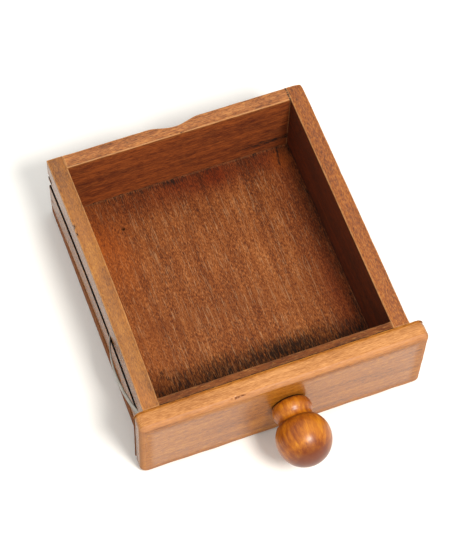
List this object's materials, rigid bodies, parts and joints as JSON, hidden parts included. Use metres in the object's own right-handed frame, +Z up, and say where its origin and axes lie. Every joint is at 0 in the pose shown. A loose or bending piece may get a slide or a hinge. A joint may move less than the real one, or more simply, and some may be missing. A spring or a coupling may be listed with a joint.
{
  "type": "wooden puzzle box drawer",
  "caption": "Small open wooden box drawer with an overhanging face board, a turned ball knob and a bowed leaf spring in a side groove that holds it shut.",
  "frame": {"origin": "middle of the bottom board's underside, the face the drawer stands and slides on", "axes": "+Z up, -Y towards the face board and its knob, +X to the right as seen from the knob's side"},
  "size_m": [0.1084, 0.1383, 0.0392],
  "materials": {
    "panel_beech": "clear-finished beech face board, satin",
    "rail_beech": "darker beech, rubbed finish",
    "side_beech": "golden beech, satin varnish",
    "back_beech": "golden-brown beech, satin varnish",
    "bottom_board": "red-brown stained board, matt with a darkened front edge",
    "lacquered_knob": "turned beech under glossy amber lacquer",
    "screw_steel": "plain steel, dulled",
    "spring_steel": "cold-rolled spring strip, satin"
  },
  "bodies": {
    "drawer": {"front_panel": "panel_beech", "front_rail": "rail_beech", "left_side": "side_beech", "right_side": "side_beech", "back": "back_beech", "bottom": "bottom_board", "knob": "lacquered_knob", "knob_screw": "screw_steel", "spring_tack": "screw_steel", "left_back_pins": "screw_steel", "right_back_pins": "screw_steel", "bottom_pins": "screw_steel"},
    "spring": {"leaf_spring": "spring_steel"}
  },
  "joints": [
    {"name": "spring_press", "type": "slide", "parent": "drawer", "child": "spring", "axis": [1, 0, 0], "range_m": [0, 0.0025], "stiffness_N_per_m": 1500, "deforming": ["leaf_spring"]}
  ]
}
